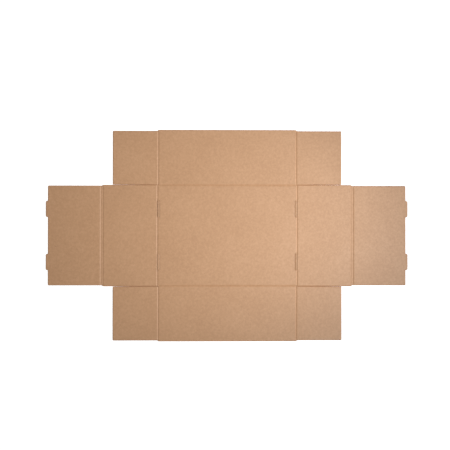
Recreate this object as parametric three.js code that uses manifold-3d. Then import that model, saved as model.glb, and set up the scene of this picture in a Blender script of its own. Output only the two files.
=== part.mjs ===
// Flat die-cut blank of a corrugated tray, lying with the face up that becomes the inside.
// Millimetres, +Z up. The origin is the middle of the base panel, on the face that lies down.
// +X runs along the length of the tray and +Y towards its back wall.
//
// The sheet is creased, so each panel hinges on the thin crushed board at the foot of a crease.
// Two long walls carry the four corner flaps. Each short end has a wall, a narrow rim strip and
// a roll-over panel, whose two tabs drop into slots in the base and lock the corner flaps in.

import * as THREE from 'three';
import { mergeVertices } from 'three/addons/utils/BufferGeometryUtils.js';
import Module from 'manifold-3d';

const wasm = await Module();
wasm.setup();

// Board
const BOARD = 1.6;            // thickness of the fine-flute board
const CREASED = 0.8;          // board left at the foot of a crease
const CREASE_WIDTH = 3.6;     // across the groove that the creasing rule leaves
const KERF = 0.2;             // parting between two panels along their crease
const KRAFT = 0xc69a77;       // brown liner

// Tray
const BASE_LENGTH = 280;      // between the two end creases
const INSIDE_WIDTH = 200;     // between the long walls when they stand
const LONG_WALL_HEIGHT = 110.2;

// Corner flaps
const FLAP_LENGTH = 90.3;
const FLAP_STEP = 2;          // from the long wall's free edge down to the flap's
const FLAP_LIFT = 0.3;        // above the base when the flap is turned in
const FLAP_TAPER = 1.1;       // widening of the slit towards the flap's far end

// Fit of the folded end
const FOLD_CLEARANCE = 0.15;  // on each face of a corner flap inside the folded end
const RIM_CLEARANCE = 0.2;    // over the corner flaps' upper edges
const PANEL_INSET = 1.8;      // roll-over and rim, in from each side edge of the end wall
const EDGE_GAP = 3.4;         // under the roll-over's free edge when it is down

// Tabs and slots
const TAB_LENGTH = 31;
const TAB_BITE = 0.8;         // how far a seated tab reaches into the base
const TAB_CENTRE = 53;        // from the tray's middle line
const TAB_CORNER = 1.4;
const SLOT_CLEARANCE = 1;     // past each end of a tab
const SLOT_BACK = 0.4;        // behind a seated tab

const GROOVE_STEPS = 12;
const CORNER_STEPS = 5;

// A quarter turn brings a panel's upper face this far inside its crease line.
const FACE_DEPTH = BOARD - CREASED;
const BASE_WIDTH = INSIDE_WIDTH + 2 * FACE_DEPTH;

// The folded end holds end wall, corner flap and roll-over side by side.
const FLAP_INSET = BOARD + FOLD_CLEARANCE;
const RIM_WIDTH = BOARD + 2 * FACE_DEPTH + 2 * FOLD_CLEARANCE;
const END_WALL_HEIGHT = LONG_WALL_HEIGHT - FLAP_STEP + FACE_DEPTH + RIM_CLEARANCE;
const ROLL_OVER_LENGTH = END_WALL_HEIGHT - FACE_DEPTH - EDGE_GAP;
const TAB_REACH = EDGE_GAP + TAB_BITE;
const SLOT_DEPTH = RIM_WIDTH + CREASED + SLOT_BACK;

const WALL_END = BASE_LENGTH / 2 - FLAP_INSET;
const CUT = KERF / 2;
const MARGIN = 1;

const paper = new THREE.MeshStandardMaterial({ color: KRAFT, roughness: 0.9, metalness: 0 });

function toSolid(geometry) {
  const bare = geometry.clone();
  bare.deleteAttribute('normal');
  bare.deleteAttribute('uv');
  const merged = mergeVertices(bare, 1e-5);
  return new wasm.Manifold(new wasm.Mesh({
    numProp: 3,
    vertProperties: new Float32Array(merged.attributes.position.array),
    triVerts: new Uint32Array(merged.index.array),
  }));
}

function toGeometry(solid) {
  const mesh = solid.getMesh();
  const geometry = new THREE.BufferGeometry();
  geometry.setAttribute('position', new THREE.BufferAttribute(mesh.vertProperties, 3));
  geometry.setIndex(new THREE.BufferAttribute(mesh.triVerts, 1));
  geometry.computeVertexNormals();
  return geometry;
}

// A panel is drawn on its creases: height 0 is the foot of a crease, where the board turns.
function sheet(outline) {
  const flat = new THREE.ExtrudeGeometry(outline, {
    depth: BOARD, bevelEnabled: false, curveSegments: CORNER_STEPS,
  });
  return toSolid(flat.translate(0, 0, -CREASED));
}

// The pressed groove: an arc CREASE_WIDTH across at the upper face that touches height 0.
// It runs along the panel's y axis at x = 0 until it is turned and moved.
function groove(length) {
  const half = CREASE_WIDTH / 2;
  const radius = (half * half + FACE_DEPTH * FACE_DEPTH) / (2 * FACE_DEPTH);
  const reach = Math.asin(half / radius);
  const section = new THREE.Shape();
  section.moveTo(-half, FACE_DEPTH + MARGIN);
  section.lineTo(-half, FACE_DEPTH);
  section.absarc(0, radius, radius, -Math.PI / 2 - reach, -Math.PI / 2 + reach, false);
  section.lineTo(half, FACE_DEPTH + MARGIN);
  section.closePath();
  const bar = new THREE.ExtrudeGeometry(section, {
    depth: length + 2 * MARGIN, bevelEnabled: false, curveSegments: GROOVE_STEPS,
  });
  return bar.rotateX(Math.PI / 2).translate(0, length / 2 + MARGIN, 0);
}

// Presses grooves across the panel at each x in alongY and along it at each y in alongX.
function press(panel, size, alongY, alongX = []) {
  let pressed = panel;
  for (const x of alongY) {
    pressed = pressed.subtract(toSolid(groove(size).translate(x, 0, 0)));
  }
  for (const y of alongX) {
    pressed = pressed.subtract(toSolid(groove(size).rotateZ(Math.PI / 2).translate(0, y, 0)));
  }
  return pressed;
}

function polygon(points) {
  return new THREE.Shape(points.map(([x, y]) => new THREE.Vector2(x, y)));
}

function rectangle(x0, x1, halfWidth) {
  return polygon([[x0, -halfWidth], [x1, -halfWidth], [x1, halfWidth], [x0, halfWidth]]);
}

// Base panel, notched at both end creases. The end walls close the notches into slots.
function baseGeometry() {
  const right = BASE_LENGTH / 2 - CUT;
  const back = BASE_WIDTH / 2 - CUT;
  const slotEdge = BASE_LENGTH / 2 - SLOT_DEPTH;
  const half = TAB_LENGTH / 2 + SLOT_CLEARANCE;
  const rightSide = [-TAB_CENTRE, TAB_CENTRE].flatMap((middle) => [
    [right, middle - half], [slotEdge, middle - half], [slotEdge, middle + half], [right, middle + half],
  ]);
  const leftSide = rightSide.map(([x, y]) => [-x, -y]);
  const outline = polygon([
    [right, -back], ...rightSide, [right, back], [-right, back], ...leftSide, [-right, -back],
  ]);
  const creasesX = [-BASE_LENGTH / 2, BASE_LENGTH / 2];
  const creasesY = [-BASE_WIDTH / 2, BASE_WIDTH / 2];
  const pressed = press(sheet(outline), BASE_LENGTH, creasesX, creasesY);
  return toGeometry(pressed).translate(0, 0, CREASED);
}

// Long wall, with a corner flap's crease at each end.
function longWallGeometry() {
  const outline = rectangle(CUT, LONG_WALL_HEIGHT, WALL_END - CUT);
  return toGeometry(press(sheet(outline), 2 * WALL_END, [0], [-WALL_END, WALL_END]));
}

// Corner flap, drawn outwards from its crease. The edge beside the end wall faces +y and
// drops away from it, because the slit is cut wider towards its mouth.
function cornerFlapGeometry() {
  const slitEdge = -FACE_DEPTH - FLAP_LIFT;
  const freeEdge = FLAP_STEP - LONG_WALL_HEIGHT;
  const outline = polygon([
    [CUT, freeEdge], [FLAP_LENGTH, freeEdge], [FLAP_LENGTH, slitEdge - FLAP_TAPER], [CUT, slitEdge],
  ]);
  return toGeometry(press(sheet(outline), 2 * LONG_WALL_HEIGHT, [0]));
}

// End wall, from the base's end crease to the first crease of the rim.
function endWallGeometry() {
  const outline = rectangle(CUT, END_WALL_HEIGHT - CUT, BASE_WIDTH / 2);
  return toGeometry(press(sheet(outline), BASE_WIDTH, [0, END_WALL_HEIGHT]));
}

// Rim strip between the two creases of the fold-over.
function rimGeometry() {
  const outline = rectangle(CUT, RIM_WIDTH - CUT, BASE_WIDTH / 2 - PANEL_INSET);
  return toGeometry(press(sheet(outline), BASE_WIDTH, [0, RIM_WIDTH]));
}

// Roll-over panel with its two tabs.
function rollOverGeometry() {
  const side = BASE_WIDTH / 2 - PANEL_INSET;
  const edge = ROLL_OVER_LENGTH;
  const tip = edge + TAB_REACH;
  const outline = new THREE.Shape();
  outline.moveTo(CUT, -side);
  outline.lineTo(edge, -side);
  for (const middle of [-TAB_CENTRE, TAB_CENTRE]) {
    const low = middle - TAB_LENGTH / 2;
    const high = middle + TAB_LENGTH / 2;
    outline.lineTo(edge, low);
    outline.absarc(tip - TAB_CORNER, low + TAB_CORNER, TAB_CORNER, -Math.PI / 2, 0, false);
    outline.absarc(tip - TAB_CORNER, high - TAB_CORNER, TAB_CORNER, 0, Math.PI / 2, false);
    outline.lineTo(edge, high);
  }
  outline.lineTo(edge, side);
  outline.lineTo(CUT, side);
  outline.closePath();
  return toGeometry(press(sheet(outline), BASE_WIDTH, [0]));
}

// A group at a crease, turned so that its +x axis leaves the panel it hinges on.
function hinge(parent, x, y, turn) {
  const group = new THREE.Group();
  group.position.set(x, y, 0);
  group.rotation.z = turn;
  parent.add(group);
  return group;
}

function addPanel(group, name, geometry) {
  const mesh = new THREE.Mesh(geometry, paper);
  mesh.name = name;
  group.add(mesh);
}

// The two flaps of a long wall are mirror images of each other.
function mirrored(geometry) {
  const flipped = geometry.clone().scale(1, -1, 1);
  const index = flipped.index.array;
  for (let i = 0; i < index.length; i += 3) {
    [index[i], index[i + 1]] = [index[i + 1], index[i]];
  }
  flipped.computeVertexNormals();
  return flipped;
}

function addLongWall(creases, name, turn, flapNames) {
  const wall = hinge(creases, 0, Math.sign(turn) * BASE_WIDTH / 2, turn);
  addPanel(wall, `long_wall_${name}`, longWallGeometry());
  const flap = cornerFlapGeometry();
  const [clockwise, counter] = flapNames;
  addPanel(hinge(wall, 0, -WALL_END, -Math.PI / 2), `corner_flap_${clockwise}`, mirrored(flap));
  addPanel(hinge(wall, 0, WALL_END, Math.PI / 2), `corner_flap_${counter}`, flap);
}

function addEnd(creases, name, side, turn) {
  const end = hinge(creases, side * BASE_LENGTH / 2, 0, turn);
  addPanel(end, `end_wall_${name}`, endWallGeometry());
  const rim = hinge(end, END_WALL_HEIGHT, 0, 0);
  addPanel(rim, `rim_strip_${name}`, rimGeometry());
  addPanel(hinge(rim, RIM_WIDTH, 0, 0), `roll_over_${name}`, rollOverGeometry());
}

const blank = new THREE.Group();
addPanel(blank, 'base_panel', baseGeometry());

const creases = new THREE.Group();
creases.position.z = CREASED;
blank.add(creases);
addLongWall(creases, 'back', Math.PI / 2, ['back_right', 'back_left']);
addLongWall(creases, 'front', -Math.PI / 2, ['front_left', 'front_right']);
addEnd(creases, 'right', 1, 0);
addEnd(creases, 'left', -1, Math.PI);

export default blank;
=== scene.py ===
import bisect
import math
import bpy
import mathutils
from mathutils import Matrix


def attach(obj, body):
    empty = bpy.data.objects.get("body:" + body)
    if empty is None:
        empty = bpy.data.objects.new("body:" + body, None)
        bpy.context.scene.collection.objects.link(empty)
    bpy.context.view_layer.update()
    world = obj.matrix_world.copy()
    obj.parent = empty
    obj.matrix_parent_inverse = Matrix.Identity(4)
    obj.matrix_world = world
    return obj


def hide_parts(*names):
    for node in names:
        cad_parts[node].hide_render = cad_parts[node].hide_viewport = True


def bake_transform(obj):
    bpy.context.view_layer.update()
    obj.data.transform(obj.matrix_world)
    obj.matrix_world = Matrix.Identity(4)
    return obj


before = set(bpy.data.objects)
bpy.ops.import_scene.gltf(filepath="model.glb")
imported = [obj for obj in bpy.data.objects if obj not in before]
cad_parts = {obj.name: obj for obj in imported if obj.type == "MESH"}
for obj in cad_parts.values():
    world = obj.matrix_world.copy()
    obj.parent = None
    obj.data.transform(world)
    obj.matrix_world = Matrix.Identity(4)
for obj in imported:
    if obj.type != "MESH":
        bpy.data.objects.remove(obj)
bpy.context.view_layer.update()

# Base panel: the floor of the tray. It is the middle of one die-cut sheet of fine-flute
# kraft board, which is two flat liners glued to a fluted sheet between them. Creases
# pressed in from this side bound it, and four slots for the tabs are cut in its ends.
BOARD = 1.6             # all sizes are in millimetres
LINER = 0.2
MEDIUM = 0.15           # thickness of the fluted sheet
FLUTE_PITCH = 3.4
WASHBOARD = 0.014       # dip of the liner between two flutes
CREASED = 0.8           # board left at the bottom of a crease
CREASE_HALF = 2.2       # from the middle of a crease to the end of its shoulder
BEND_HALF = 0.6         # from the middle of a crease to where the panels begin
KNOCK_DEPTH = 0.35      # how far the die presses in a cut edge
KNOCK_WIDTH = 1.3
CREASE_SHAPE = (0.6, 1.0, 1.4, 1.8, 2.2, 2.6)   # mesh lines beside a crease
KNOCK_SHAPE = (0.0, 0.3, 0.7, 1.3, 1.7)         # mesh lines beside a cut edge
GRID_STEP = 25.0        # between mesh lines along the flutes, where nothing is pressed
PLAIN_STEP = 60.0       # between mesh lines of the flat outer liner
FLUTE_STEPS = 8         # mesh lines of the fluted sheet to one flute
LINER_STEPS = 4         # mesh lines of the inner liner to one flute
MARK_GAP = 0.25         # a mesh line nearer than this share of a step to another is left out
SHARP_ANGLE = 60        # degrees
END_CREASE = 140.0      # from the middle of the base to an end crease
SIDE_CREASE = 100.8     # from the middle of the base to a side crease
BASE_END = 139.9        # to the base's cut edges at its ends, which are the slots' mouths
BASE_SIDE = 100.7       # to its cut edges at the sides, in its corners
WALL_END = 138.15       # half the length of a side crease, and of a long wall's outer edge
SLOT_BACK = 135.3       # to the slots' inner edges
SLOT_HALF = 16.5        # half a slot's length
TAB_CENTRE = 53.0       # from the tray's middle line to the middle of a slot and its tab
LINER_MID = "#C5976F"
LINER_DARK = "#BC8E67"
LINER_PALE = "#CEA079"
LINER_SPECK = "#8A6243"
# Painted shade: the liner's creases and cut edges are drawn part of the way towards this darker tone.
CREASE_EDGE_SHADE_TONE = "#A97B55"
MEDIUM_MID = "#AE8460"
MEDIUM_DARK = "#97704F"
CREASE_SHADE_SHARE = 0.1       # share of the painted shade tone at the bottom of a crease


def to_linear(colour):
    """An sRGB hex colour as linear red, green, blue and alpha."""
    parts = [int(colour[k:k + 2], 16) / 255 for k in (1, 3, 5)]
    linear = [p / 12.92 if p <= 0.04045 else ((p + 0.055) / 1.055) ** 2.4 for p in parts]
    return (*linear, 1.0)


def add_node(tree, kind, settings=(), **inputs):
    """Adds a node with its settings. An input is a value, or the socket that feeds it, and
    its name is the socket's, or _ and the socket's number."""
    node = tree.nodes.new(kind)
    for key, value in dict(settings).items():
        setattr(node, key, value)
    for key, value in inputs.items():
        socket = node.inputs[int(key[1:]) if key[1:].isdigit() else key.replace("_", " ")]
        if isinstance(value, bpy.types.NodeSocket):
            tree.links.new(value, socket)
        else:
            socket.default_value = value
    return node


def make_kraft_liner():
    """Unbleached kraft liner off the paper machine: matt, softly mottled where the fibres clump, with
    long fine fibres and a few dark specks, and with painted shade, a darker tone, in its creases and
    along its cut edges."""
    material = bpy.data.materials.new("unbleached_kraft_liner")
    material.use_nodes = True
    tree = material.node_tree
    tree.nodes.clear()
    place = add_node(tree, "ShaderNodeTexCoord").outputs["Object"]
    # Clumps of fibres are 3 to 6 mm across.
    clumps = add_node(tree, "ShaderNodeTexNoise", Vector=place, Scale=240.0, Detail=3.0,
                      Roughness=0.6).outputs["Fac"]
    # The sheet's tone drifts over about 80 mm.
    drift = add_node(tree, "ShaderNodeTexNoise", Vector=place, Scale=12.0, Detail=2.0,
                     Roughness=0.5).outputs["Fac"]
    # Fibres are about 3 mm by 0.04 mm and lie mostly along the paper machine's run, which is
    # across the flutes. They are drawn 4 mm by 0.6 mm, so that they show.
    stretched = add_node(tree, "ShaderNodeMapping", Vector=place,
                         Scale=(1600.0, 250.0, 1600.0)).outputs[0]
    fibres = add_node(tree, "ShaderNodeTexNoise", Vector=stretched, Scale=1.0, Detail=4.0,
                      Roughness=0.65, Distortion=0.6).outputs["Fac"]
    tone = add_node(tree, "ShaderNodeMix", {"data_type": "FLOAT"}, _0=0.42, _2=clumps,
                    _3=fibres).outputs[0]
    tone = add_node(tree, "ShaderNodeMix", {"data_type": "FLOAT"}, _0=0.18, _2=tone,
                    _3=drift).outputs[0]
    ramp = add_node(tree, "ShaderNodeValToRGB", Fac=tone)
    ramp.color_ramp.elements[0].position = 0.36
    ramp.color_ramp.elements[0].color = to_linear(LINER_DARK)
    ramp.color_ramp.elements[1].position = 0.64
    ramp.color_ramp.elements[1].color = to_linear(LINER_PALE)
    middle = ramp.color_ramp.elements.new(0.5)
    middle.color = to_linear(LINER_MID)
    # Bark specks are 0.3 to 0.6 mm across, about one to each 15 mm square.
    cells = add_node(tree, "ShaderNodeTexVoronoi", {"feature": "F1"}, Vector=place, Scale=70.0)
    chance = add_node(tree, "ShaderNodeSeparateColor", Color=cells.outputs["Color"]).outputs[0]
    speck_size = add_node(tree, "ShaderNodeMath", {"operation": "MULTIPLY"}, _0=chance,
                          _1=0.03).outputs[0]
    speck = add_node(tree, "ShaderNodeMath", {"operation": "LESS_THAN"},
                     _0=cells.outputs["Distance"], _1=speck_size).outputs[0]
    # One larger fleck of bark, 1.4 mm across, lies on the left roll-over panel.
    fleck = add_node(tree, "ShaderNodeVectorMath", {"operation": "DISTANCE"}, _0=place,
                     _1=(-0.343, -0.022, 0.0016)).outputs["Value"]
    fleck = add_node(tree, "ShaderNodeMath", {"operation": "LESS_THAN"}, _0=fleck,
                     _1=0.0007).outputs[0]
    speck = add_node(tree, "ShaderNodeMath", {"operation": "MAXIMUM"}, _0=speck, _1=fleck).outputs[0]
    speck = add_node(tree, "ShaderNodeMath", {"operation": "MULTIPLY"}, _0=speck, _1=0.55).outputs[0]
    colour = add_node(tree, "ShaderNodeMix", {"data_type": "RGBA"}, _0=speck, _6=ramp.outputs["Color"],
                      _7=to_linear(LINER_SPECK)).outputs[2]
    # Painted shade: pressed board, in the creases and along the cut edges, is drawn up to a quarter of
    # the way to the darker shade tone.
    pressed_shade = add_node(tree, "ShaderNodeAttribute", {"attribute_name": "pressed_shade"}).outputs["Fac"]
    pressed_shade = add_node(tree, "ShaderNodeMath", {"operation": "MULTIPLY"}, _0=pressed_shade,
                       _1=0.25).outputs[0]
    colour = add_node(tree, "ShaderNodeMix", {"data_type": "RGBA"}, _0=pressed_shade, _6=colour,
                      _7=to_linear(CREASE_EDGE_SHADE_TONE)).outputs[2]
    rough = add_node(tree, "ShaderNodeMapRange", Value=tone, From_Min=0.3, From_Max=0.7, To_Min=0.56,
                     To_Max=0.48).outputs[0]
    bump = add_node(tree, "ShaderNodeBump", Strength=0.35, Distance=0.0001, Height=tone).outputs[0]
    shader = add_node(tree, "ShaderNodeBsdfPrincipled", Base_Color=colour, Roughness=rough, Normal=bump,
                      IOR=1.45)
    add_node(tree, "ShaderNodeOutputMaterial", Surface=shader.outputs[0])
    return material


def make_fluting_paper():
    """Recycled fluting paper, shaped hot between ribbed rolls: rougher, greyer and darker
    than the liners, and seen only at the cut edges."""
    material = bpy.data.materials.new("recycled_fluting_paper")
    material.use_nodes = True
    tree = material.node_tree
    tree.nodes.clear()
    place = add_node(tree, "ShaderNodeTexCoord").outputs["Object"]
    # Clumps of short fibres are about 1 mm across.
    clumps = add_node(tree, "ShaderNodeTexNoise", Vector=place, Scale=1000.0, Detail=3.0,
                      Roughness=0.6).outputs["Fac"]
    ramp = add_node(tree, "ShaderNodeValToRGB", Fac=clumps)
    ramp.color_ramp.elements[0].position = 0.35
    ramp.color_ramp.elements[0].color = to_linear(MEDIUM_DARK)
    ramp.color_ramp.elements[1].position = 0.65
    ramp.color_ramp.elements[1].color = to_linear(MEDIUM_MID)
    bump = add_node(tree, "ShaderNodeBump", Strength=0.4, Distance=0.0001, Height=clumps).outputs[0]
    shader = add_node(tree, "ShaderNodeBsdfPrincipled", Base_Color=ramp.outputs["Color"], Roughness=0.85,
                      Normal=bump)
    add_node(tree, "ShaderNodeOutputMaterial", Surface=shader.outputs[0])
    return material


kraft_liner = make_kraft_liner()
fluting_paper = make_fluting_paper()


def crease_height(distance):
    """Height of the board's upper face at a distance from the middle of a crease."""
    if distance >= CREASE_HALF:
        return BOARD
    return BOARD - (BOARD - CREASED) * 0.5 * (1 + math.cos(math.pi * distance / CREASE_HALF))


def distance_to(x, y, line):
    """Distance from a point to a straight line between two points."""
    x0, y0, x1, y1 = line
    run, rise = x1 - x0, y1 - y0
    part = ((x - x0) * run + (y - y0) * rise) / (run * run + rise * rise)
    part = min(1.0, max(0.0, part))
    return math.hypot(x - x0 - part * run, y - y0 - part * rise)


def board_surface(x, y, creases, cuts):
    """Height of the upper face, and how far it is pressed from 0 to 1, which also sets its share of
    painted shade.
    """
    height = BOARD
    pressed_shade = 0.0
    for line in creases:
        height = min(height, crease_height(distance_to(x, y, line)))
        # A crease takes painted shade in step with its depth.
        pressed_shade = max(pressed_shade, CREASE_SHADE_SHARE * (BOARD - height) / (BOARD - CREASED))
    edge = min(distance_to(x, y, line) for line in cuts)
    if edge < KNOCK_WIDTH:
        share = (1 - edge / KNOCK_WIDTH) ** 2
        height = min(height, BOARD - KNOCK_DEPTH * share)
        # A cut edge takes painted shade, most at the edge itself.
        pressed_shade = max(pressed_shade, share)
    return height, pressed_shade


def grid_lines(low, high, step, marks):
    """Positions from low to high: every mark, and whole steps that aren't close to a mark."""
    lines = sorted({round(m, 4) for m in marks if low <= m <= high})
    first = math.ceil(low / step)
    last = math.floor(high / step)
    for k in range(first, last + 1):
        spot = bisect.bisect(lines, k * step)
        near = lines[max(0, spot - 1):spot + 1]
        if all(abs(k * step - other) > MARK_GAP * step for other in near):
            lines.insert(spot, round(k * step, 4))
    return lines


def add_sheet(parts, columns, rows, inside, place, under, over, material):
    """Adds one closed sheet over the grid's inside cells, between two surfaces, to parts: the points,
    each point's share of painted shade, the faces and their material numbers."""
    points, pressed_shade, faces, materials = parts
    index = {}

    def point(i, j, upper):
        if (i, j, upper) not in index:
            x, y = place(columns[i], rows[j])
            z, mark = (over if upper else under)(x, y)
            index[i, j, upper] = len(points)
            points.append((x / 1000, y / 1000, z / 1000))
            pressed_shade.append(mark)
        return index[i, j, upper]

    filled = set()
    for i in range(len(columns) - 1):
        for j in range(len(rows) - 1):
            if inside((columns[i] + columns[i + 1]) / 2, (rows[j] + rows[j + 1]) / 2):
                filled.add((i, j))
    for i, j in sorted(filled):
        corners = ((i, j), (i + 1, j), (i + 1, j + 1), (i, j + 1))
        faces.append([point(*c, True) for c in corners])
        faces.append([point(*c, False) for c in reversed(corners)])
        beyond = ((i, j - 1), (i + 1, j), (i, j + 1), (i - 1, j))
        for k in range(4):
            if beyond[k] in filled:
                continue
            a, b = corners[k], corners[(k + 1) % 4]
            faces.append([point(*a, False), point(*b, False), point(*b, True), point(*a, True)])
    materials.extend([material] * (len(faces) - len(materials)))


def add_object(name, data):
    """Puts a mesh, lamp or camera into the scene as an object."""
    thing = bpy.data.objects.new(name, data)
    bpy.context.scene.collection.objects.link(thing)
    return thing


def finish_mesh(name, parts):
    """Makes the object, with smooth faces that stay crisp at the cut edges."""
    points, pressed_shade, faces, materials = parts
    mesh = bpy.data.meshes.new(name)
    mesh.from_pydata(points, [], faces)
    mesh.materials.append(kraft_liner)
    mesh.materials.append(fluting_paper)
    mesh.polygons.foreach_set("material_index", materials)
    # Each point's share of painted shade, for the liner's material.
    mesh.attributes.new("pressed_shade", "FLOAT", "POINT").data.foreach_set("value", pressed_shade)
    mesh.shade_smooth()
    mesh.set_sharp_from_angle(angle=math.radians(SHARP_ANGLE))
    mesh.update()
    return add_object(name, mesh)


def stay(x, y):
    """Leaves a point of the board where it is."""
    return x, y


def box(x0, x1, y0, y1):
    """A rectangle as low x, high x, low y, high y."""
    return (*sorted((x0, x1)), *sorted((y0, y1)))


def make_board(name, boxes, holes, creases, cuts, place=stay, sink=None):
    """Corrugated board over boxes less holes, with its lines of creases and cut edges. place
    moves a point sideways, and sink says how far its upper face is pressed in besides."""
    def inside(x, y):
        if any(a < x < b and c < y < d for a, b, c, d in holes):
            return False
        return any(a < x < b and c < y < d for a, b, c, d in boxes)

    def face(x, y):
        height, mark = board_surface(x, y, creases, cuts)
        return height - (sink(x, y) if sink else 0.0), mark

    def wave(x, y, side):
        height, mark = face(x, y)
        swing = (height - 2 * LINER - MEDIUM) / 2
        middle = height / 2 + swing * math.sin(2 * math.pi * y / FLUTE_PITCH)
        return middle + side * MEDIUM / 2, mark

    def upper(x, y):
        height, mark = face(x, y)
        dip = WASHBOARD * (1 - math.sin(2 * math.pi * y / FLUTE_PITCH)) * (1 - mark)
        return height - dip, mark

    def upper_inner(x, y):
        height, mark = face(x, y)
        return height - LINER, mark

    across = [v for shape in boxes + holes for v in shape[:2]]
    along = [v for shape in boxes + holes for v in shape[2:]]
    across_marks = list(across)
    along_marks = list(along)
    for lines, steps in ((creases, CREASE_SHAPE), (cuts, KNOCK_SHAPE)):
        for x0, y0, x1, y1 in lines:
            if x0 == x1:
                across_marks += [x0 + side * step for step in steps for side in (-1, 1)]
            else:
                along_marks += [y + side * step for y in (y0, y1) for step in steps
                                for side in (-1, 1)]
    low_x, high_x = min(b[0] for b in boxes), max(b[1] for b in boxes)
    low_y, high_y = min(b[2] for b in boxes), max(b[3] for b in boxes)
    columns = grid_lines(low_x, high_x, GRID_STEP, across_marks)
    liner_rows = grid_lines(low_y, high_y, FLUTE_PITCH / LINER_STEPS, along_marks)
    flute_rows = grid_lines(low_y, high_y, FLUTE_PITCH / FLUTE_STEPS, along)
    plain_columns = grid_lines(low_x, high_x, PLAIN_STEP, across)
    plain_rows = grid_lines(low_y, high_y, PLAIN_STEP, along)
    parts = ([], [], [], [])
    add_sheet(parts, columns, liner_rows, inside, place, upper_inner, upper, 0)
    add_sheet(parts, columns, flute_rows, inside, place,
              lambda x, y: wave(x, y, -1), lambda x, y: wave(x, y, 1), 1)
    add_sheet(parts, plain_columns, plain_rows, inside, place,
              lambda x, y: (0.0, 0.0), lambda x, y: (LINER, 0.0), 0)
    return finish_mesh(name, parts)


def fit_panel(piece, body):
    """Lets the board stand for its panel and move with it."""
    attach(piece, body)
    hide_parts(body)


base_in = END_CREASE - BEND_HALF
base_deep = SIDE_CREASE - BEND_HALF
slot_spans = [(t * TAB_CENTRE - SLOT_HALF, t * TAB_CENTRE + SLOT_HALF) for t in (-1, 1)]
tab_slots = [box(s * SLOT_BACK, s * BASE_END, c, d) for s in (-1, 1) for c, d in slot_spans]
# The creasing rule of each end stops where the slots are cut.
end_runs = [(-BASE_SIDE, -TAB_CENTRE - SLOT_HALF), (-TAB_CENTRE + SLOT_HALF, TAB_CENTRE - SLOT_HALF),
            (TAB_CENTRE + SLOT_HALF, BASE_SIDE)]
base_creases = [(s * END_CREASE, a, s * END_CREASE, b) for s in (-1, 1) for a, b in end_runs]
base_creases += [(-WALL_END, t * SIDE_CREASE, WALL_END, t * SIDE_CREASE) for t in (-1, 1)]
base_cuts = []
for low_x, high_x, low_y, high_y in tab_slots:
    back = low_x if low_x > 0 else high_x
    base_cuts.append((back, low_y, back, high_y))
    base_cuts.append((low_x, low_y, high_x, low_y))
    base_cuts.append((low_x, high_y, high_x, high_y))
for s in (-1, 1):
    for t in (-1, 1):
        base_cuts.append((s * WALL_END, t * BASE_SIDE, s * BASE_END, t * BASE_SIDE))
base_boxes = [box(-base_in, base_in, -base_deep, base_deep)]
base_boxes += [box(s * WALL_END, s * base_in, t * base_deep, t * BASE_SIDE)
               for s in (-1, 1) for t in (-1, 1)]
base_holes = [box(s * SLOT_BACK, s * base_in, c, d) for s in (-1, 1) for c, d in slot_spans]
fit_panel(make_board("base_board", base_boxes, base_holes, base_creases, base_cuts), "base_panel")

# Long walls: the two long sides of the tray, part of the same sheet. Each joins the base
# along its long crease and carries a corner flap at each end. The outer edges and the
# short ends beyond the flaps are cut.
WALL_NEAR = 100.9
WALL_FAR = 211.0
FLAP_CREASE = 138.25
FLAP_NEAR = 101.9
FLAP_FAR = 209.0

for side, t in (("back", 1), ("front", -1)):
    near = SIDE_CREASE + BEND_HALF
    reach = FLAP_CREASE - BEND_HALF
    spans = [(-WALL_END, WALL_END, near, FLAP_NEAR), (-reach, reach, FLAP_NEAR, FLAP_FAR),
             (-WALL_END, WALL_END, FLAP_FAR, WALL_FAR)]
    creases = [(-WALL_END, t * SIDE_CREASE, WALL_END, t * SIDE_CREASE)]
    cuts = [(-WALL_END, t * WALL_FAR, WALL_END, t * WALL_FAR)]
    for s in (-1, 1):
        creases.append((s * FLAP_CREASE, t * FLAP_NEAR, s * FLAP_CREASE, t * FLAP_FAR))
        cuts.append((s * WALL_END, t * FLAP_FAR, s * WALL_END, t * WALL_FAR))
        cuts.append((s * WALL_END, t * WALL_NEAR, s * WALL_END, t * FLAP_NEAR))
    boxes = [box(a, b, t * c, t * d) for a, b, c, d in spans]
    fit_panel(make_board(f"long_wall_{side}_board", boxes, [], creases, cuts), f"long_wall_{side}")

# Corner flaps: they turn in at the ends of the long walls and stand inside the end walls.
# They are cut from the same sheet, a board's thickness shorter than the wall at both
# edges, and the edge beside the end wall runs slightly aslant so that it clears.
FLAP_END = 228.55
FLAP_TAPER = 1.1
TAPER_DEPTH = 4.0

for side, t in (("back", 1), ("front", -1)):
    for hand, s in (("left", -1), ("right", 1)):
        def aslant(x, y, s=s, t=t):
            """Moves the edge beside the end wall outwards along its taper."""
            share = (abs(x) - FLAP_CREASE) / (FLAP_END - FLAP_CREASE)
            depth = max(0.0, 1 - (abs(y) - FLAP_NEAR) / TAPER_DEPTH)
            return x, y + t * FLAP_TAPER * share * depth

        near_x = s * (FLAP_CREASE + BEND_HALF)
        boxes = [box(near_x, s * FLAP_END, t * FLAP_NEAR, t * FLAP_FAR)]
        creases = [(s * FLAP_CREASE, t * FLAP_NEAR, s * FLAP_CREASE, t * FLAP_FAR)]
        cuts = [(near_x, t * FLAP_NEAR, s * FLAP_END, t * (FLAP_NEAR + FLAP_TAPER)),
                (s * FLAP_END, t * (FLAP_NEAR + FLAP_TAPER), s * FLAP_END, t * FLAP_FAR),
                (near_x, t * FLAP_FAR, s * FLAP_END, t * FLAP_FAR)]
        flap = make_board(f"corner_flap_{side}_{hand}_board", boxes, [], creases, cuts, aslant)
        fit_panel(flap, f"corner_flap_{side}_{hand}")

# End walls: the two short sides of the tray. Each joins the base at the end crease, beside
# the slots, and its far edge carries the rim strip. Its long edges are cut by the slits
# that part it from the corner flaps.
END_NEAR = 140.1
END_FAR = 249.1
END_SIDE = 100.8
RIM_INNER = 249.2
RIM_SIDE = 99.0

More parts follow.
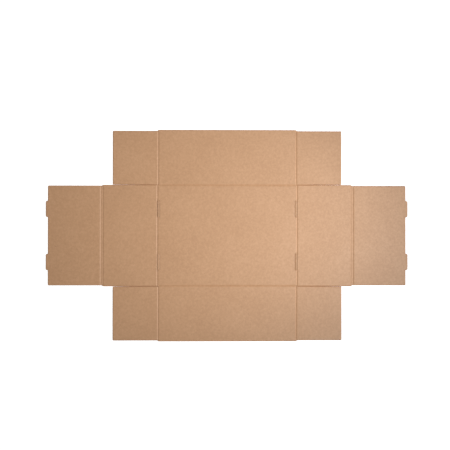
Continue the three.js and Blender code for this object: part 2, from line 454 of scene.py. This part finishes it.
for hand, s in (("left", -1), ("right", 1)):
    near = END_CREASE + BEND_HALF
    far = RIM_INNER - BEND_HALF
    spans = [(near, far, -END_SIDE, END_SIDE), (far, END_FAR, -END_SIDE, -RIM_SIDE),
             (far, END_FAR, RIM_SIDE, END_SIDE)]
    spans += [(END_NEAR, near, c, d) for c, d in slot_spans]
    creases = [(s * END_CREASE, a, s * END_CREASE, b) for a, b in end_runs]
    creases.append((s * RIM_INNER, -RIM_SIDE, s * RIM_INNER, RIM_SIDE))
    cuts = []
    for t in (-1, 1):
        cuts.append((s * END_NEAR, t * END_SIDE, s * END_FAR, t * END_SIDE))
        cuts.append((s * END_FAR, t * RIM_SIDE, s * END_FAR, t * END_SIDE))
    cuts += [(s * END_NEAR, c, s * END_NEAR, d) for c, d in slot_spans]
    boxes = [box(s * a, s * b, c, d) for a, b, c, d in spans]
    fit_panel(make_board(f"end_wall_{hand}_board", boxes, [], creases, cuts), f"end_wall_{hand}")

# Rim strips: the narrow band between the two creases of each fold-over. It becomes the top
# edge of the end wall, as wide as the boards that it covers. The two creasing rules are so
# close that they press the board between them too.
RIM_OUTER = 252.7
RIM_SINK = 0.5          # in the middle of the strip

for hand, s in (("left", -1), ("right", 1)):
    near = s * (RIM_INNER + BEND_HALF)
    far = s * (RIM_OUTER - BEND_HALF)
    creases = [(s * v, -RIM_SIDE, s * v, RIM_SIDE) for v in (RIM_INNER, RIM_OUTER)]
    cuts = [(near, t * RIM_SIDE, far, t * RIM_SIDE) for t in (-1, 1)]
    boxes = [box(near, far, -RIM_SIDE, RIM_SIDE)]

    def sunk(x, y):
        """How far the strip is pressed in, most in its middle."""
        share = (abs(x) - RIM_INNER - BEND_HALF) / (RIM_OUTER - RIM_INNER - 2 * BEND_HALF)
        return RIM_SINK * math.sin(math.pi * share) ** 2

    rim = make_board(f"rim_strip_{hand}_board", boxes, [], creases, cuts, sink=sunk)
    fit_panel(rim, f"rim_strip_{hand}")

# Roll-over panels: each folds down inside the end wall over the two corner flaps. Its two
# locking tabs, with small rounded corners, drop into the slots of the base.
ROLL_FAR = 357.7
TAB_TIP = 361.9
TAB_HALF = 15.5
TAB_CORNER = 1.4
THINNEST = 0.04         # of the last sliver of mesh at a rounded corner

for hand, s in (("left", -1), ("right", 1)):
    def round_tab(x, y):
        """Draws in the sides of a tab near its tip, for its rounded corners."""
        past = abs(x) - (TAB_TIP - TAB_CORNER)
        if past <= 0:
            return x, y
        centre = math.copysign(TAB_CENTRE, y)
        inner = TAB_HALF - TAB_CORNER
        over = abs(y - centre) - inner
        if over <= 0:
            return x, y
        width = max(THINNEST, math.sqrt(max(0.0, TAB_CORNER ** 2 - past ** 2)))
        return x, centre + math.copysign(inner + over * width / TAB_CORNER, y - centre)

    near = RIM_OUTER + BEND_HALF
    tab_spans = [(t * TAB_CENTRE - TAB_HALF, t * TAB_CENTRE + TAB_HALF) for t in (-1, 1)]
    spans = [(near, ROLL_FAR, -RIM_SIDE, RIM_SIDE)]
    spans += [(ROLL_FAR, TAB_TIP, c, d) for c, d in tab_spans]
    creases = [(s * RIM_OUTER, -RIM_SIDE, s * RIM_OUTER, RIM_SIDE)]
    cuts = [(s * near, t * RIM_SIDE, s * ROLL_FAR, t * RIM_SIDE) for t in (-1, 1)]
    between_tabs = [(-RIM_SIDE, tab_spans[0][0]), (tab_spans[0][1], tab_spans[1][0]),
                    (tab_spans[1][1], RIM_SIDE)]
    cuts += [(s * ROLL_FAR, c, s * ROLL_FAR, d) for c, d in between_tabs]
    for c, d in tab_spans:
        cuts.append((s * TAB_TIP, c, s * TAB_TIP, d))
        cuts += [(s * ROLL_FAR, y, s * TAB_TIP, y) for y in (c, d)]
    boxes = [box(s * a, s * b, c, d) for a, b, c, d in spans]
    roll_over = make_board(f"roll_over_{hand}_board", boxes, [], creases, cuts, round_tab)
    fit_panel(roll_over, f"roll_over_{hand}")

# Slot punchings: the slots' waste, still held in place by nicks to the end wall, so that it
# turns out of the slot as the wall folds up. Each is a sliver of the same board, pressed
# unevenly by the die's rubber, with a fine cut all round.
PUNCH_KERF = 0.2
PUNCH_BACK = 135.5
PUNCH_FRONT = 139.6
# How far each sliver is pressed in at its left edge, middle and right edge.
PUNCH_PRESS = {("left", "back"): (0.9, 0.0, 0.65), ("left", "front"): (0.15, 0.05, 0.15),
               ("right", "back"): (0.45, 0.1, 0.1), ("right", "front"): (0.9, 0.3, 0.0)}

for hand, s in (("left", -1), ("right", 1)):
    for side, t in (("back", 1), ("front", -1)):
        low_x, high_x = sorted((s * PUNCH_BACK, s * PUNCH_FRONT))
        low_y = t * TAB_CENTRE - SLOT_HALF + PUNCH_KERF
        high_y = t * TAB_CENTRE + SLOT_HALF - PUNCH_KERF
        presses = PUNCH_PRESS[hand, side]

        def uneven(x, y, low_x=low_x, high_x=high_x, presses=presses):
            """How far the sliver is pressed in across its width."""
            spot = 2 * (x - low_x) / (high_x - low_x)
            if spot < 1:
                return presses[0] + (presses[1] - presses[0]) * spot
            return presses[1] + (presses[2] - presses[1]) * (spot - 1)

        cuts = [(low_x, low_y, low_x, high_y), (high_x, low_y, high_x, high_y),
                (low_x, low_y, high_x, low_y), (low_x, high_y, high_x, high_y)]
        sliver = make_board(f"slot_punching_{side}_{hand}", [(low_x, high_x, low_y, high_y)], [], [],
                            cuts, sink=uneven)
        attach(sliver, f"end_wall_{hand}")

# Creases: lines where a blunt rule has pressed the board to half its thickness from the inside. There
# the liners and the fluted sheet lie flat together, and the real board bends there when the panels fold;
# these strips are built flat, as the blank lies. The end creases stop at the slots.
BEND_STEPS = 8


def make_crease(name, lines):
    """The strips of one crease, each (x0, y0, x1, y1), built flat on the line between two panels."""
    parts = ([], [], [], [])
    points, pressed_shade, faces, materials = parts
    for x0, y0, x1, y1 in lines:
        length = math.hypot(x1 - x0, y1 - y0)
        left = (-(y1 - y0) / length, (x1 - x0) / length)
        start = len(points)
        for k in range(BEND_STEPS + 1):
            offset = BEND_HALF * (2 * k / BEND_STEPS - 1)
            height = crease_height(abs(offset))
            for x, y in ((x0, y0), (x1, y1)):
                for z in (0.0, height):
                    points.append(((x + offset * left[0]) / 1000, (y + offset * left[1]) / 1000,
                                   z / 1000))
                    # The whole strip takes the crease's share of painted shade.
                    pressed_shade.append(CREASE_SHADE_SHARE)
        for k in range(BEND_STEPS):
            a = start + 4 * k
            b = a + 4
            faces += [[a + 1, a + 3, b + 3, b + 1], [a, b, b + 2, a + 2], [a, a + 1, b + 1, b],
                      [a + 2, b + 2, b + 3, a + 3]]
        last = start + 4 * BEND_STEPS
        faces += [[start, start + 2, start + 3, start + 1], [last, last + 1, last + 3, last + 2]]
    materials.extend([0] * len(faces))
    piece = finish_mesh(name, parts)
    x0, y0, x1, y1 = lines[0]
    length = math.hypot(x1 - x0, y1 - y0)
    left = (-(y1 - y0) / length, (x1 - x0) / length)
    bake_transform(piece)


# Each line runs so that the second body lies to its left.
for side, t in (("back", 1), ("front", -1)):
    make_crease(f"side_crease_{side}",
                [(-t * WALL_END, t * SIDE_CREASE, t * WALL_END, t * SIDE_CREASE)])
    for hand, s in (("left", -1), ("right", 1)):
        low, high = sorted((t * FLAP_NEAR, t * FLAP_FAR))
        ends = (high, low) if s > 0 else (low, high)
        make_crease(f"flap_crease_{side}_{hand}",
                    [(s * FLAP_CREASE, ends[0], s * FLAP_CREASE, ends[1])])
for hand, s in (("left", -1), ("right", 1)):
    make_crease(f"end_crease_{hand}",
                [(s * END_CREASE, s * b, s * END_CREASE, s * a) for a, b in end_runs])
    make_crease(f"rim_crease_inner_{hand}",
                [(s * RIM_INNER, s * RIM_SIDE, s * RIM_INNER, -s * RIM_SIDE)])
    make_crease(f"rim_crease_outer_{hand}",
                [(s * RIM_OUTER, s * RIM_SIDE, s * RIM_OUTER, -s * RIM_SIDE)])

# Setting: a plain white floor under the blank, with painted brown shade in the slits and along the
# blank's edges, a lamp at the right, a weaker one above the right-hand end with a panel beside it that
# adds sheen there, soft light from all round, and the camera straight above. Places are in metres.
FLOOR_TONE = "#E8E8E8"
# Painted shade: the floor within the slits and right beside the blank's edges turns to this brown.
SLIT_SHADE_TONE = "#B8845C"
FLOOR_HALF = 6.0
FLOOR_HEIGHT = -0.0002
FLOOR_GLOW = 0.917      # of the floor as the camera sees it
ROOM_LIGHT = 0.3        # of the world, where the camera doesn't see it


def make_floor():
    """Matt white board. Camera rays see it as white, with the blank's shadow kept, and with painted
    brown shade in the slits and in a thin line along the blank's edges.
    """
    material = bpy.data.materials.new("matt_white_backdrop")
    material.use_nodes = True
    tree = material.node_tree
    tree.nodes.clear()
    rays = add_node(tree, "ShaderNodeLightPath").outputs["Is Camera Ray"]
    # Painted shade: within the slits and right beside the blank's edges, where little of the room is
    # open above, the floor's colour turns to a brown shade and its glow falls away, in place of the
    # shadow and the brown light of the cut edges.
    openness = add_node(tree, "ShaderNodeAmbientOcclusion", {"samples": 16},
                        Distance=0.0022).outputs["AO"]
    openness = add_node(tree, "ShaderNodeMapRange", Value=openness, From_Min=0.7, From_Max=0.88,
                        To_Min=0.04, To_Max=1.0).outputs[0]
    glow = add_node(tree, "ShaderNodeMath", {"operation": "MULTIPLY"}, _0=rays,
                    _1=FLOOR_GLOW).outputs[0]
    glow = add_node(tree, "ShaderNodeMath", {"operation": "MULTIPLY"}, _0=glow, _1=openness).outputs[0]
    tone = add_node(tree, "ShaderNodeMix", {"data_type": "RGBA"}, _0=openness,
                    _6=to_linear(SLIT_SHADE_TONE), _7=to_linear(FLOOR_TONE)).outputs[2]
    paint = add_node(tree, "ShaderNodeBsdfDiffuse", Color=tone).outputs[0]
    light = add_node(tree, "ShaderNodeEmission", Color=tone, Strength=glow).outputs[0]
    both = add_node(tree, "ShaderNodeAddShader", _0=paint, _1=light).outputs[0]
    add_node(tree, "ShaderNodeOutputMaterial", Surface=both)
    mesh = bpy.data.meshes.new("floor")
    corners = [(x * FLOOR_HALF, y * FLOOR_HALF, FLOOR_HEIGHT)
               for x, y in ((-1, -1), (1, -1), (1, 1), (-1, 1))]
    mesh.from_pydata(corners, [], [(0, 1, 2, 3)])
    mesh.materials.append(material)
    return add_object("floor", mesh)


def add_lamp(name, kind, size, energy, location):
    """A lamp with a round face, which looks straight down until it is turned."""
    lamp = bpy.data.lights.new(name, kind)
    lamp.energy = energy
    if kind == "AREA":
        lamp.shape = "DISK"
        lamp.size = size
    else:
        lamp.shadow_soft_size = size
    placed = add_object(name, lamp)
    placed.location = location
    return placed


make_floor()

world = bpy.data.worlds.new("soft_room_light")
bpy.context.scene.world = world
world.use_nodes = True
world.node_tree.nodes.clear()
ray = add_node(world.node_tree, "ShaderNodeLightPath")
seen = add_node(world.node_tree, "ShaderNodeMath", {"operation": "MAXIMUM"},
                _0=ray.outputs["Is Camera Ray"], _1=ray.outputs["Is Glossy Ray"]).outputs[0]
seen = add_node(world.node_tree, "ShaderNodeMath", {"operation": "MAXIMUM"}, _0=seen,
                _1=ray.outputs["Is Transmission Ray"]).outputs[0]
level = add_node(world.node_tree, "ShaderNodeMapRange", Value=seen, To_Min=ROOM_LIGHT,
                 To_Max=1.0).outputs[0]
sky = add_node(world.node_tree, "ShaderNodeBackground", Color=(1.0, 1.0, 1.0, 1.0), Strength=level)
add_node(world.node_tree, "ShaderNodeOutputWorld", Surface=sky.outputs[0])

add_lamp("overhead_lamp", "AREA", 0.35, 6.1, (0.5, 0.12, 1.5))
# A white panel that shows only as a soft sheen on the right-hand end.
sheen_panel = add_lamp("sheen_panel", "AREA", 0.35, 13.0, (0.72, -0.28, 1.5))
sheen_panel.visible_diffuse = False
# The strongest lamp makes the soft pool of light over the base and the right-hand end.
side_lamp = add_lamp("side_lamp", "SPOT", 0.12, 46.0, (0.9, 0.0, 1.0))
side_lamp.data.spot_size = math.radians(32.8)
side_lamp.data.spot_blend = 1.0
aim = mathutils.Vector((-0.012, 0.052, 0.0)) - side_lamp.location
side_lamp.rotation_euler = aim.to_track_quat("-Z", "Y").to_euler()

camera = bpy.data.cameras.new("camera")
camera.lens = 70
camera.sensor_width = 36
camera_object = add_object("camera", camera)
camera_object.location = (-0.0374, 0.0086, 1.7536)
camera_object.rotation_euler = [math.radians(v) for v in (0.41, -1.071, 0.031)]
bpy.context.scene.camera = camera_object

bpy.context.scene.view_settings.view_transform = "Standard"
